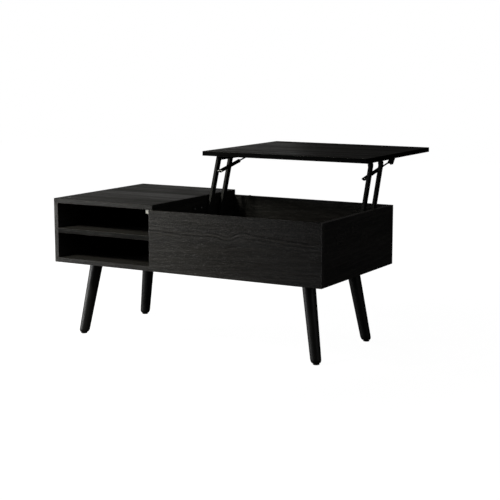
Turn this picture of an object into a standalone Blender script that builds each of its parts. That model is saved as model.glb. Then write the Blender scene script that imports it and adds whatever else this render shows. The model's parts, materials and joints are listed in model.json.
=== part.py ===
"""Lift top coffee table: a box on four splayed legs, with an open two-level cubby under
a fixed top on the left, and a storage box under a lift top on the right.

The lift top rides on two pairs of parallel arms, so it rises and moves back while it
stays level. It is modelled raised, with the arms leaning past vertical onto their stop.
X runs along the table, Y from its front (-Y) to its back, and Z up from the floor.
"""

import math

import bmesh
import bpy
from mathutils import Matrix, Vector

# ---------------------------------------------------------------- driving dimensions, metres

TABLE_LENGTH = 0.96
TABLE_DEPTH = 0.50
CLOSED_HEIGHT = 0.45
RAISED_HEIGHT = 0.595
LIFT_TOP_LENGTH = 0.58
BOARD = 0.015
CARCASS_BOTTOM = 0.244
TOUCH_GAP = 0.0003
TOP_SEAM = 0.0012
RIM_GAP = 0.002

TOP_SETBACK = 0.290
ARM_LEAN = math.radians(20.0)
ARM_SPACING = 0.076
ARM_WIDTH = 0.020
ARM_DEPTH = 0.008
ARM_WALL = 0.0018
TOP_PIVOT_DROP = 0.013
TOP_PIVOT_SETBACK = 0.088
PIN_RADIUS = 0.004
PIN_HOLE_RADIUS = 0.0043
STEEL_PLATE = 0.002

STRUT_STUD_DROP = 0.044
STRUT_BRACKET_REACH = 0.172
STRUT_BRACKET_DROP = 0.004
STRUT_TUBE_RADIUS = 0.006
STRUT_TUBE_LENGTH = 0.122
STRUT_ROD_RADIUS = 0.0025
STRUT_ROD_LENGTH = 0.095
STRUT_BORE_RADIUS = 0.0048
STRUT_GUIDE_LENGTH = 0.0080
STRUT_TUBE_START = 0.0100
STUD_RADIUS = 0.0030
STUD_SHOULDER_RADIUS = 0.0045
LUG_RADIUS = 0.0055
LUG_HALF_WIDTH = 0.0025
LUG_HOLE_RADIUS = STUD_RADIUS + TOUCH_GAP

BRACKET_FRONT = -0.022
BRACKET_BACK = 0.200
BRACKET_FLANGE_WIDTH = 0.022
BRACKET_WEB_DROP = -0.0070
BRACKET_STRUT_TAB_DROP = -0.0115
BRACKET_SLIM_WEB_DROP = 0.0055
BRACKET_PIN_TAB_DROP = -0.0085
BRACKET_PIN_TAB_TOP = 0.0095
BRACKET_PIN_TAB_TIP = 0.0060
RIVET_COLLAR_RADIUS = 0.0065
RIVET_HEAD_RADIUS = 0.0070
RIVET_HEAD_HEIGHT = 0.0015

LEG_TOP_RADIUS = 0.0208
LEG_FOOT_RADIUS = 0.0168
LEG_TOP_X = 0.386
LEG_TOP_Y = 0.150
LEG_FOOT_X = 0.427
LEG_FOOT_Y = 0.176

LEG_PLATE_SIDE = 0.060
LEG_PLATE_THICKNESS = 0.0025
LEG_BOLT_RADIUS = 0.004
LEG_BOLT_HOLE = 0.0043
LEG_BOLT_DEPTH = 0.030
LEG_ROUNDING = 0.012
GLIDE_HEIGHT = 0.0040
GLIDE_RADIUS = 0.0100
GLIDE_PIN_RADIUS = 0.0015
GLIDE_PIN_HOLE = 0.0018
GLIDE_PIN_LENGTH = 0.010

ROUND_SEGMENTS = 16
LEG_SEGMENTS = 28
SMOOTH_ANGLE = math.radians(40.0)

# ---------------------------------------------------------------- places worked out from them

HALF_LENGTH = TABLE_LENGTH / 2
HALF_DEPTH = TABLE_DEPTH / 2
LIFT_TOP_LEFT = HALF_LENGTH - LIFT_TOP_LENGTH
TOP_UNDERSIDE = CLOSED_HEIGHT - BOARD
RIM_HEIGHT = TOP_UNDERSIDE - RIM_GAP
UNDER_FIXED_TOP = TOP_UNDERSIDE - TOUCH_GAP
FLOOR_TOP = CARCASS_BOTTOM + BOARD
INNER_LEFT = -HALF_LENGTH + BOARD
INNER_RIGHT = HALF_LENGTH - BOARD
DIVIDER_RIGHT = LIFT_TOP_LEFT
DIVIDER_LEFT = DIVIDER_RIGHT - BOARD
INNER_FRONT = -HALF_DEPTH + BOARD
INNER_BACK = HALF_DEPTH - BOARD

TOP_RISE = RAISED_HEIGHT - CLOSED_HEIGHT
LEAN_Y = math.sin(ARM_LEAN)
LEAN_Z = math.cos(ARM_LEAN)
ARM_LENGTH = (TOP_SETBACK ** 2 + TOP_RISE ** 2) / (2 * (TOP_SETBACK * LEAN_Y + TOP_RISE * LEAN_Z))
RAISED_FRONT = -HALF_DEPTH + TOP_SETBACK
TOP_PIVOT_Y = RAISED_FRONT + TOP_PIVOT_SETBACK
TOP_PIVOT_Z = RAISED_HEIGHT - BOARD - TOP_PIVOT_DROP
BASE_PIVOT_Y = TOP_PIVOT_Y - ARM_LENGTH * LEAN_Y
BASE_PIVOT_Z = TOP_PIVOT_Z - ARM_LENGTH * LEAN_Z

STUD_Y = TOP_PIVOT_Y - STRUT_STUD_DROP * LEAN_Y
STUD_Z = TOP_PIVOT_Z - STRUT_STUD_DROP * LEAN_Z
STRUT_END_Y = TOP_PIVOT_Y + STRUT_BRACKET_REACH
STRUT_END_Z = TOP_PIVOT_Z - STRUT_BRACKET_DROP
STRUT_ANGLE = math.atan2(STRUT_END_Z - STUD_Z, STRUT_END_Y - STUD_Y)
STRUT_REACH = math.hypot(STRUT_END_Z - STUD_Z, STRUT_END_Y - STUD_Y)

# Layers of a lift unit, measured inboard from the wall that carries it.
PLATE_BACK = TOUCH_GAP
PLATE_FRONT = PLATE_BACK + STEEL_PLATE
ARM_BACK = 0.005
ARM_FRONT = ARM_BACK + ARM_DEPTH
ARM_WEB_BACK = ARM_FRONT - ARM_WALL
TOP_WEB_BACK = ARM_FRONT + 0.0005
TOP_WEB_FRONT = TOP_WEB_BACK + STEEL_PLATE
STRUT_LAYER = 0.024
STUD_TIP = 0.032

# The raised top overhangs the back, so the carcass stands forward of the origin, which is
# under the middle of the whole raised table.
CARCASS_Y = -TOP_SETBACK / 2

# Colour, roughness and metallic value of each finish.
FINISHES = {
    "black_laminate": ((0.022, 0.021, 0.020), 0.42, 0.0),
    "black_leg": ((0.012, 0.012, 0.012), 0.32, 0.0),
    "black_steel": ((0.020, 0.020, 0.021), 0.38, 0.6),
    "bright_steel": ((0.62, 0.62, 0.63), 0.22, 1.0),
    "zinc_steel": ((0.48, 0.49, 0.50), 0.38, 1.0),
    "black_rubber": ((0.018, 0.018, 0.018), 0.75, 0.0),
    "black_plastic": ((0.020, 0.020, 0.020), 0.50, 0.0),
    "white_plastic": ((0.80, 0.80, 0.78), 0.45, 0.0),
}


# ---------------------------------------------------------------- scene and object helpers

def clear_scene():
    for old in list(bpy.data.objects):
        bpy.data.objects.remove(old, do_unlink=True)


def make_material(node_name, finish):
    colour, roughness, metallic = FINISHES[finish]
    material = bpy.data.materials.new(node_name + "_" + finish)
    material.use_nodes = True
    shader = material.node_tree.nodes["Principled BSDF"]
    shader.inputs["Base Color"].default_value = (*colour, 1.0)
    shader.inputs["Roughness"].default_value = roughness
    shader.inputs["Metallic"].default_value = metallic
    return material


def make_empty(name, location, parent=None, rotation=(0.0, 0.0, 0.0)):
    empty = bpy.data.objects.new(name, None)
    empty.location = location
    empty.rotation_euler = rotation
    empty.parent = parent
    bpy.context.scene.collection.objects.link(empty)
    return empty


def make_node(name, shape, finish, parent, location=(0.0, 0.0, 0.0), rotation=(0.0, 0.0, 0.0)):
    """Turn a finished bmesh into a named object with its own material."""
    bmesh.ops.recalc_face_normals(shape, faces=shape.faces[:])
    mesh = bpy.data.meshes.new(name)
    shape.to_mesh(mesh)
    shape.free()
    mesh.materials.append(make_material(name, finish))
    mesh.shade_smooth()
    mesh.set_sharp_from_angle(angle=SMOOTH_ANGLE)
    piece = bpy.data.objects.new(name, mesh)
    piece.location = location
    piece.rotation_euler = rotation
    piece.parent = parent
    bpy.context.scene.collection.objects.link(piece)
    return piece


def combine(piece, tool, operation):
    """Boolean of one piece with a hidden tool shape in the same place."""
    tool.hide_render = True
    tool.display_type = "WIRE"
    modifier = piece.modifiers.new(tool.name, "BOOLEAN")
    modifier.operation = operation
    modifier.solver = "EXACT"
    modifier.object = tool


# ---------------------------------------------------------------- shape helpers

def circle(centre_a, centre_b, radius, count=ROUND_SEGMENTS):
    points = []
    for step in range(count):
        angle = 2 * math.pi * step / count
        points.append((centre_a + radius * math.cos(angle), centre_b + radius * math.sin(angle)))
    return points


def stadium(length, radius, count=ROUND_SEGMENTS):
    """Outline with round ends, centred on the second axis, from 0 to length."""
    half = count // 2
    points = []
    for end_height, start_angle in ((length, 0.0), (0.0, math.pi)):
        for step in range(half + 1):
            angle = start_angle + math.pi * step / half
            points.append((radius * math.cos(angle), end_height + radius * math.sin(angle)))
    return points


def rounded_outline(corners, radius, count=4):
    """Polygon with every corner turned to an arc of the given radius."""
    points = []
    total = len(corners)
    for index in range(total):
        corner = Vector(corners[index])
        before = (Vector(corners[index - 1]) - corner).normalized()
        after = (Vector(corners[(index + 1) % total]) - corner).normalized()
        half_angle = before.angle(after) / 2
        reach = radius / math.tan(half_angle)
        centre = corner + (before + after).normalized() * radius / math.sin(half_angle)
        start = corner + before * reach - centre
        sweep = math.pi - 2 * half_angle
        turn = math.copysign(sweep, before.cross(after))
        for step in range(count + 1):
            offset = start.copy()
            offset.rotate(Matrix.Rotation(-turn * step / count, 2))
            points.append(tuple(centre + offset))
    return points


AXIS_PLACES = {
    "X": lambda first, second, along: (along, first, second),
    "Y": lambda first, second, along: (first, along, second),
    "Z": lambda first, second, along: (first, second, along),
}


def ring_of(shape, points, along, axis):
    place = AXIS_PLACES[axis]
    return [shape.verts.new(place(first, second, along)) for first, second in points]


def skin(shape, ring, next_ring):
    count = len(ring)
    for index in range(count):
        after = (index + 1) % count
        shape.faces.new((ring[index], ring[after], next_ring[after], next_ring[index]))


def fill(shape, rings):
    """Fill the flat area inside the first ring and outside the others."""
    edges = []
    for ring in rings:
        for index, vert in enumerate(ring):
            other = ring[(index + 1) % len(ring)]
            edge = shape.edges.get((vert, other)) or shape.edges.new((vert, other))
            edges.append(edge)
    bmesh.ops.triangle_fill(shape, edges=edges, use_beauty=True)


def prism(outline, holes, start, end, axis):
    """Flat plate with holes: the outline is given in the plane across the axis."""
    shape = bmesh.new()
    loops = [outline] + list(holes)
    start_rings = [ring_of(shape, points, start, axis) for points in loops]
    end_rings = [ring_of(shape, points, end, axis) for points in loops]
    for ring, next_ring in zip(start_rings, end_rings):
        skin(shape, ring, next_ring)
    fill(shape, start_rings)
    fill(shape, end_rings)
    return shape


def pan(outline, pocket, holes, open_side, pocket_floor, web_side, axis):
    """Tray with a raised rim: a web with holes, and a flange all round it."""
    shape = bmesh.new()
    outer_open = ring_of(shape, outline, open_side, axis)
    outer_web = ring_of(shape, outline, web_side, axis)
    inner_open = ring_of(shape, pocket, open_side, axis)
    inner_floor = ring_of(shape, pocket, pocket_floor, axis)
    holes_floor = [ring_of(shape, points, pocket_floor, axis) for points in holes]
    holes_web = [ring_of(shape, points, web_side, axis) for points in holes]
    skin(shape, outer_open, outer_web)
    skin(shape, inner_open, inner_floor)
    skin(shape, outer_open, inner_open)
    for ring, next_ring in zip(holes_floor, holes_web):
        skin(shape, ring, next_ring)
    fill(shape, [outer_web] + holes_web)
    fill(shape, [inner_floor] + holes_floor)
    return shape


def turned(profile, axis, segments=ROUND_SEGMENTS, closed=False):
    """Solid turned about an axis from (along, radius) points.

    An open profile gets a flat cap at each end, and a closed one joins its last point to
    its first, as a washer's does.
    """
    shape = bmesh.new()
    rings = [ring_of(shape, circle(0.0, 0.0, radius, segments), along, axis) for along, radius in profile]
    for ring, next_ring in zip(rings, rings[1:]):
        skin(shape, ring, next_ring)
    if closed:
        skin(shape, rings[-1], rings[0])
    else:
        shape.faces.new(rings[0])
        shape.faces.new(rings[-1])
    return shape


def round_over(radius, start_height, end_height, depth, steps=4):
    """Profile points of a quarter-round edge that turns inwards by depth."""
    points = []
    for step in range(steps + 1):
        angle = 0.5 * math.pi * step / steps
        height = start_height + (end_height - start_height) * math.sin(angle)
        points.append((height, radius - depth * (1 - math.cos(angle))))
    return points


# ---------------------------------------------------------------- carcass

def board(name, low, high, parent):
    centre = [(low[i] + high[i]) / 2 for i in range(3)]
    half_x = (high[0] - low[0]) / 2
    half_y = (high[1] - low[1]) / 2
    half_z = (high[2] - low[2]) / 2
    outline = [(-half_x, -half_y), (half_x, -half_y), (half_x, half_y), (-half_x, half_y)]
    return make_node(name, prism(outline, [], -half_z, half_z, "Z"), "black_laminate", parent, centre)


def stepped_panel(name, left, right, front, back, parent):
    """Upright panel: full height under the fixed top, and lower by the rim gap past it."""
    step = LIFT_TOP_LEFT - TOP_SEAM
    outline = [
        (left, CARCASS_BOTTOM),
        (right, CARCASS_BOTTOM),
        (right, RIM_HEIGHT),
        (step, RIM_HEIGHT),
        (step, UNDER_FIXED_TOP),
        (left, UNDER_FIXED_TOP),
    ]
    middle_x = (left + right) / 2
    middle_y = (front + back) / 2
    middle_z = (CARCASS_BOTTOM + UNDER_FIXED_TOP) / 2
    local = [(x - middle_x, z - middle_z) for x, z in outline]
    half_thickness = (back - front) / 2
    shape = prism(local, [], -half_thickness, half_thickness, "Y")
    return make_node(name, shape, "black_laminate", parent, (middle_x, middle_y, middle_z))


def build_bottom_panel(parent):
    """Floor of the cubby and the box, notched where the front panel hangs over its edge."""
    left = INNER_LEFT + TOUCH_GAP
    right = INNER_RIGHT - TOUCH_GAP
    back = INNER_BACK - TOUCH_GAP
    notch_x = DIVIDER_LEFT - TOUCH_GAP
    notch_y = INNER_FRONT + TOUCH_GAP
    outline = [
        (left, -HALF_DEPTH),
        (notch_x, -HALF_DEPTH),
        (notch_x, notch_y),
        (right, notch_y),
        (right, back),
        (left, back),
    ]
    shape = prism(outline, [], 0.0, BOARD, "Z")
    return make_node("bottom_panel", shape, "black_laminate", parent, (0.0, 0.0, CARCASS_BOTTOM))


def build_carcass(parent):
    gap = TOUCH_GAP
    board(
        "left_side_panel",
        (-HALF_LENGTH, -HALF_DEPTH, CARCASS_BOTTOM),
        (INNER_LEFT, HALF_DEPTH, UNDER_FIXED_TOP),
        parent,
    )
    board(
        "right_side_panel",
        (INNER_RIGHT, INNER_FRONT + gap, CARCASS_BOTTOM),
        (HALF_LENGTH, HALF_DEPTH, RIM_HEIGHT),
        parent,
    )
    board(
        "divider_panel",
        (DIVIDER_LEFT, INNER_FRONT + gap, FLOOR_TOP + gap),
        (DIVIDER_RIGHT, INNER_BACK - gap, UNDER_FIXED_TOP),
        parent,
    )
    stepped_panel("front_panel", DIVIDER_LEFT, HALF_LENGTH, -HALF_DEPTH, INNER_FRONT, parent)
    stepped_panel("back_panel", INNER_LEFT + gap, INNER_RIGHT - gap, INNER_BACK, HALF_DEPTH, parent)
    build_bottom_panel(parent)
    shelf_middle = (FLOOR_TOP + TOP_UNDERSIDE) / 2
    board(
        "cubby_shelf",
        (INNER_LEFT + gap, -HALF_DEPTH, shelf_middle - BOARD / 2),
        (DIVIDER_LEFT - gap, INNER_BACK - gap, shelf_middle + BOARD / 2),
        parent,
    )
    board(
        "fixed_top",
        (-HALF_LENGTH, -HALF_DEPTH, TOP_UNDERSIDE),
        (LIFT_TOP_LEFT - TOP_SEAM, HALF_DEPTH, CLOSED_HEIGHT),
        parent,
    )


def build_corner_block(name, y_centre, parent):
    """Small moulded block screwed into the corner under the fixed top, beside the divider."""
    side = 0.0105
    height = 0.0125
    length = 0.016
    chamfer = 0.0025
    outline = [
        (0.0, 0.0),
        (-side, 0.0),
        (-side, chamfer - height),
        (chamfer - side, -height),
        (0.0, -height),
    ]
    shape = prism(outline, [], -length / 2, length / 2, "Y")
    location = (DIVIDER_LEFT - TOUCH_GAP, y_centre, UNDER_FIXED_TOP)
    return make_node(name, shape, "white_plastic", parent, location)


def build_rim_bumper(name, x, y, parent):
    """Low rubber button on the rim that the lift top closes onto."""
    radius = 0.004
    bottom = RIM_HEIGHT + TOUCH_GAP
    height = TOP_UNDERSIDE - TOUCH_GAP - bottom
    dome = 0.0006
    profile = [(0.0, radius)] + round_over(radius, height - dome, height, dome, 3)
    shape = turned(profile, "Z", 16)
    return make_node(name, shape, "black_rubber", parent, (x, y, bottom))


def build_carcass_fittings(parent):
    block_inset = 0.010
    build_corner_block("corner_block_front", -HALF_DEPTH + block_inset, parent)
    build_corner_block("corner_block_back", INNER_BACK - block_inset, parent)
    bumper_inset = 0.060
    middle_of_edge = HALF_DEPTH - BOARD / 2
    places = {
        "front_left": (LIFT_TOP_LEFT + bumper_inset, -middle_of_edge),
        "front_right": (HALF_LENGTH - bumper_inset, -middle_of_edge),
        "back_left": (LIFT_TOP_LEFT + bumper_inset, middle_of_edge),
        "back_right": (HALF_LENGTH - bumper_inset, middle_of_edge),
    }
    for place, (x, y) in places.items():
        build_rim_bumper("rim_bumper_" + place, x, y, parent)


# ---------------------------------------------------------------- legs


def leg_centre(height, side_x, side_y):
    """Point of a leg's slanted centre line at a height above the floor."""
    share = height / CARCASS_BOTTOM
    x = LEG_FOOT_X + (LEG_TOP_X - LEG_FOOT_X) * share
    y = LEG_FOOT_Y + (LEG_TOP_Y - LEG_FOOT_Y) * share
    return side_x * x, side_y * y


def slanted(profile, side_x, side_y, segments):
    """Solid of level circles strung along a leg's centre line, capped at both ends."""
    shape = bmesh.new()
    foot_x, foot_y = leg_centre(0.0, side_x, side_y)
    rings = []
    for height, radius in profile:
        x, y = leg_centre(height, side_x, side_y)
        rings.append(ring_of(shape, circle(x - foot_x, y - foot_y, radius, segments), height, "Z"))
    for ring, next_ring in zip(rings, rings[1:]):
        skin(shape, ring, next_ring)
    shape.faces.new(rings[0])
    shape.faces.new(rings[-1])
    return shape


def build_leg(place, side_x, side_y, parent):
    foot = (*leg_centre(0.0, side_x, side_y), 0.0)
    leg_bottom = GLIDE_HEIGHT + TOUCH_GAP
    leg_top = CARCASS_BOTTOM - LEG_PLATE_THICKNESS - 2 * TOUCH_GAP
    rounding_top = leg_bottom + LEG_ROUNDING
    tip_inset = LEG_FOOT_RADIUS - GLIDE_RADIUS
    pin_hole_top = leg_bottom + GLIDE_PIN_LENGTH + TOUCH_GAP
    rounding = round_over(LEG_FOOT_RADIUS, rounding_top, leg_bottom, tip_inset, 6)
    profile = [
        (leg_top - LEG_BOLT_DEPTH, LEG_BOLT_HOLE),
        (leg_top, LEG_BOLT_HOLE),
        (leg_top, LEG_TOP_RADIUS - 0.001),
        (leg_top - 0.001, LEG_TOP_RADIUS),
        *rounding,
        (leg_bottom, GLIDE_PIN_HOLE),
        (pin_hole_top, GLIDE_PIN_HOLE),
    ]
    make_node("leg_" + place, slanted(profile, side_x, side_y, LEG_SEGMENTS), "black_leg", parent, foot)

    bolt_profile = [
        (leg_top - LEG_BOLT_DEPTH + TOUCH_GAP, LEG_BOLT_RADIUS),
        (CARCASS_BOTTOM - 2 * TOUCH_GAP, LEG_BOLT_RADIUS),
    ]
    make_node("leg_bolt_" + place, slanted(bolt_profile, side_x, side_y, 16), "zinc_steel", parent, foot)

    plate_centre = leg_centre(CARCASS_BOTTOM, side_x, side_y)
    half = LEG_PLATE_SIDE / 2
    corners = [(-half, -half), (half, -half), (half, half), (-half, half)]
    corner_radius = 0.006
    screw_reach = half - 0.009
    screw_hole_radius = 0.0022
    bolt_clearance = 0.0012
    holes = [circle(0.0, 0.0, LEG_BOLT_RADIUS + bolt_clearance, 16)]
    for x, y in corners:
        holes.append(circle(x / half * screw_reach, y / half * screw_reach, screw_hole_radius, 10))
    plate = prism(rounded_outline(corners, corner_radius), holes, -LEG_PLATE_THICKNESS, 0.0, "Z")
    location = (*plate_centre, CARCASS_BOTTOM - TOUCH_GAP)
    make_node("leg_plate_" + place, plate, "zinc_steel", parent, location)

    shoulder = 0.0015
    glide_edge = round_over(GLIDE_RADIUS, shoulder, 0.0, shoulder, 3)
    glide_profile = [
        *reversed(glide_edge),
        (GLIDE_HEIGHT, GLIDE_RADIUS),
        (GLIDE_HEIGHT, GLIDE_PIN_RADIUS),
        (leg_bottom + GLIDE_PIN_LENGTH, GLIDE_PIN_RADIUS),
    ]
    glide = slanted(glide_profile, side_x, side_y, 24)
    make_node("foot_glide_" + place, glide, "black_plastic", parent, foot)


def build_legs(parent):
    for depth_name, side_y in (("front", -1), ("back", 1)):
        for length_name, side_x in (("left", -1), ("right", 1)):
            build_leg(depth_name + "_" + length_name, side_x, side_y, parent)


# ---------------------------------------------------------------- lift mechanism

class LiftUnit:
    """One of the two mirrored lift units, and where its wall stands."""

    def __init__(self, side_name, wall_x, inboard, deep_web):
        self.side_name = side_name
        self.wall_x = wall_x
        self.inboard = inboard
        self.deep_web = deep_web

    def x(self, layer):
        return self.wall_x + self.inboard * layer

    def local(self, layer):
        return self.inboard * layer


def build_base_bracket(unit, parent):
    """Wall plate of the unit, higher at its front, with its origin at the front base pivot."""
    front = -0.075
    back = 0.120
    foot = -0.022
    middle_top = 0.034
    back_top = 0.046
    front_top = 0.066
    screw_hole_radius = 0.0024
    corners = [
        (front, back_top),
        (front + 0.025, foot),
        (back, foot),
        (back, back_top),
        (ARM_SPACING + 0.012, middle_top),
        (0.020, middle_top),
        (-0.010, front_top),
        (front, front_top),
    ]
    pin_holes = [circle(0.0, 0.0, PIN_HOLE_RADIUS), circle(ARM_SPACING, 0.0, PIN_HOLE_RADIUS)]
    screw_places = [(-0.062, 0.055), (-0.022, 0.055), (0.108, 0.034), (0.108, -0.010), (-0.034, -0.010)]
    screw_holes = [circle(y, z, screw_hole_radius, 10) for y, z in screw_places]
    shape = prism(
        rounded_outline(corners, 0.005, 3),
        pin_holes + screw_holes,
        unit.local(PLATE_BACK),
        unit.local(PLATE_FRONT),
        "X",
    )
    location = (unit.wall_x, BASE_PIVOT_Y, BASE_PIVOT_Z)
    return make_node("base_bracket_" + unit.side_name, shape, "black_steel", parent, location)


def build_arm(unit, place, y_offset, has_stud, parent):
    """Pressed steel arm, dished towards the wall, hung on its base pin."""
    pocket_radius = ARM_WIDTH / 2 - ARM_WALL
    holes = [circle(0.0, 0.0, PIN_HOLE_RADIUS), circle(0.0, ARM_LENGTH, PIN_HOLE_RADIUS)]
    if has_stud:
        holes.append(circle(0.0, ARM_LENGTH - STRUT_STUD_DROP, STUD_RADIUS + TOUCH_GAP))
    shape = pan(
        stadium(ARM_LENGTH, ARM_WIDTH / 2),
        stadium(ARM_LENGTH, pocket_radius),
        holes,
        unit.local(ARM_BACK),
        unit.local(ARM_WEB_BACK),
        unit.local(ARM_FRONT),
        "X",
    )
    return make_node(
        "arm_" + place + "_" + unit.side_name,
        shape,
        "black_steel",
        parent,
        (unit.wall_x, BASE_PIVOT_Y + y_offset, BASE_PIVOT_Z),
        (-ARM_LEAN, 0.0, 0.0),
    )


def rivet_head(start, shank_radius, head_radius):
    """Profile of a low rivet head with a sloping rim, from the surface it bears on."""
    edge = 0.0006
    slope = 0.0015
    return [
        (start, shank_radius),
        (start, head_radius),
        (start + RIVET_HEAD_HEIGHT - edge, head_radius),
        (start + RIVET_HEAD_HEIGHT, head_radius - slope),
    ]


def build_base_pin(unit, place, y_offset, parent):
    """Shouldered rivet from the wall plate through an arm's web."""
    profile = [
        (PLATE_BACK + TOUCH_GAP, PIN_RADIUS),
        (PLATE_FRONT + TOUCH_GAP, PIN_RADIUS),
        (PLATE_FRONT + TOUCH_GAP, RIVET_COLLAR_RADIUS),
        (ARM_WEB_BACK - TOUCH_GAP, RIVET_COLLAR_RADIUS),
        (ARM_WEB_BACK - TOUCH_GAP, PIN_RADIUS),
        *rivet_head(ARM_FRONT + TOUCH_GAP, PIN_RADIUS, RIVET_HEAD_RADIUS),
    ]
    shape = turned([(unit.local(layer), radius) for layer, radius in profile], "X")
    location = (unit.wall_x, BASE_PIVOT_Y + y_offset, BASE_PIVOT_Z)
    return make_node("base_pin_" + place + "_" + unit.side_name, shape, "bright_steel", parent, location)


def build_top_pin(unit, place, y_offset, parent):
    """Rivet through an arm's web and the top bracket's web, with a head on each side."""
    profile = [
        (ARM_WEB_BACK - TOUCH_GAP - RIVET_HEAD_HEIGHT, RIVET_COLLAR_RADIUS),
        (ARM_WEB_BACK - TOUCH_GAP, RIVET_COLLAR_RADIUS),
        (ARM_WEB_BACK - TOUCH_GAP, PIN_RADIUS),
        *rivet_head(TOP_WEB_FRONT + TOUCH_GAP, PIN_RADIUS, RIVET_COLLAR_RADIUS),
    ]
    shape = turned([(unit.local(layer), radius) for layer, radius in profile], "X")
    location = (unit.wall_x, y_offset, 0.0)
    return make_node("top_pin_" + place + "_" + unit.side_name, shape, "bright_steel", parent, location)


def web_edge(unit, flange_bottom):
    """Lower edge of a top bracket's web, from its front end to its back end.

    One bracket has a deep web all along. The other is slim, with a tab at each pin. Both clear
    the arm's stud, which passes below them as the table closes.
    """
    edge = [(BRACKET_FRONT, flange_bottom)]
    if unit.deep_web:
        edge += [
            (BRACKET_FRONT + 0.010, BRACKET_WEB_DROP),
            (STRUT_BRACKET_REACH - 0.034, BRACKET_WEB_DROP),
        ]
    else:
        edge.append((BRACKET_FRONT + 0.004, BRACKET_SLIM_WEB_DROP))
        for pin_y in (0.0, ARM_SPACING):
            edge += [
                (pin_y - BRACKET_PIN_TAB_TOP, BRACKET_SLIM_WEB_DROP),
                (pin_y - BRACKET_PIN_TAB_TIP, BRACKET_PIN_TAB_DROP),
                (pin_y + BRACKET_PIN_TAB_TIP, BRACKET_PIN_TAB_DROP),
                (pin_y + BRACKET_PIN_TAB_TOP, BRACKET_SLIM_WEB_DROP),
            ]
        edge.append((STRUT_BRACKET_REACH - 0.024, BRACKET_SLIM_WEB_DROP))
    edge += [
        (STRUT_BRACKET_REACH - 0.010, BRACKET_STRUT_TAB_DROP),
        (STRUT_BRACKET_REACH + 0.008, BRACKET_STRUT_TAB_DROP),
        (BRACKET_BACK, flange_bottom),
    ]
    return edge


def build_top_bracket(unit, parent):
    """Steel angle under the lift top: an upright web for the pins and a flange for screws.

    Its origin is the front top pivot.
    """
    flange_top = TOP_PIVOT_DROP - TOUCH_GAP
    flange_bottom = flange_top - STEEL_PLATE
    web_corners = web_edge(unit, flange_bottom)
    shape = bmesh.new()
    upper = [(BRACKET_BACK, flange_top), (BRACKET_FRONT, flange_top)]
    web_outline = web_corners + upper
    holes = [
        circle(0.0, 0.0, PIN_HOLE_RADIUS),
        circle(ARM_SPACING, 0.0, PIN_HOLE_RADIUS),
        circle(STRUT_BRACKET_REACH, -STRUT_BRACKET_DROP, STUD_RADIUS + TOUCH_GAP),
    ]
    back_x = unit.local(TOP_WEB_BACK)
    front_x = unit.local(TOP_WEB_FRONT)
    flange_x = unit.local(TOP_WEB_BACK + BRACKET_FLANGE_WIDTH)
    back_ring = ring_of(shape, web_outline, back_x, "X")
    front_ring = ring_of(shape, web_corners, front_x, "X")
    tip_low = [shape.verts.new((flange_x, y, flange_bottom)) for y in (BRACKET_FRONT, BRACKET_BACK)]
    tip_high = [shape.verts.new((flange_x, y, flange_top)) for y in (BRACKET_FRONT, BRACKET_BACK)]
    back_holes = [ring_of(shape, points, back_x, "X") for points in holes]
    front_holes = [ring_of(shape, points, front_x, "X") for points in holes]
    last = len(web_corners) - 1
    for index in range(last):
        shape.faces.new((back_ring[index], back_ring[index + 1], front_ring[index + 1], front_ring[index]))
    for ring, next_ring in zip(back_holes, front_holes):
        skin(shape, ring, next_ring)
    fill(shape, [back_ring] + back_holes)
    fill(shape, [front_ring] + front_holes)
    top_back, top_front = back_ring[last + 1], back_ring[last + 2]
    shape.faces.new((front_ring[0], front_ring[last], tip_low[1], tip_low[0]))
    shape.faces.new((tip_low[0], tip_low[1], tip_high[1], tip_high[0]))
    shape.faces.new((tip_high[0], tip_high[1], top_back, top_front))
    shape.faces.new((back_ring[0], front_ring[0], tip_low[0], tip_high[0], top_front))
    shape.faces.new((back_ring[last], front_ring[last], tip_low[1], tip_high[1], top_back))
    return make_node(
        "top_bracket_" + unit.side_name, shape, "black_steel", parent, (unit.wall_x, 0.0, 0.0)
    )


# ---------------------------------------------------------------- gas struts

def build_arm_stud(unit, parent):
    """Shouldered stud riveted through the front arm, on which the strut's tube swings."""
    lug_back = STRUT_LAYER - LUG_HALF_WIDTH - TOUCH_GAP
    tip_chamfer = 0.0010
    profile = [
        (ARM_WEB_BACK - TOUCH_GAP - RIVET_HEAD_HEIGHT, STUD_SHOULDER_RADIUS),
        (ARM_WEB_BACK - TOUCH_GAP, STUD_SHOULDER_RADIUS),
        (ARM_WEB_BACK - TOUCH_GAP, STUD_RADIUS),
        (ARM_FRONT + TOUCH_GAP, STUD_RADIUS),
        (ARM_FRONT + TOUCH_GAP, STUD_SHOULDER_RADIUS),
        (lug_back, STUD_SHOULDER_RADIUS),
        (lug_back, STUD_RADIUS),
        (STUD_TIP - tip_chamfer, STUD_RADIUS),
        (STUD_TIP, STUD_RADIUS - tip_chamfer),
    ]
    shape = turned([(unit.local(layer), radius) for layer, radius in profile], "X", 16)
    return make_node("arm_stud_" + unit.side_name, shape, "bright_steel", parent, (unit.wall_x, 0.0, 0.0))


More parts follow.
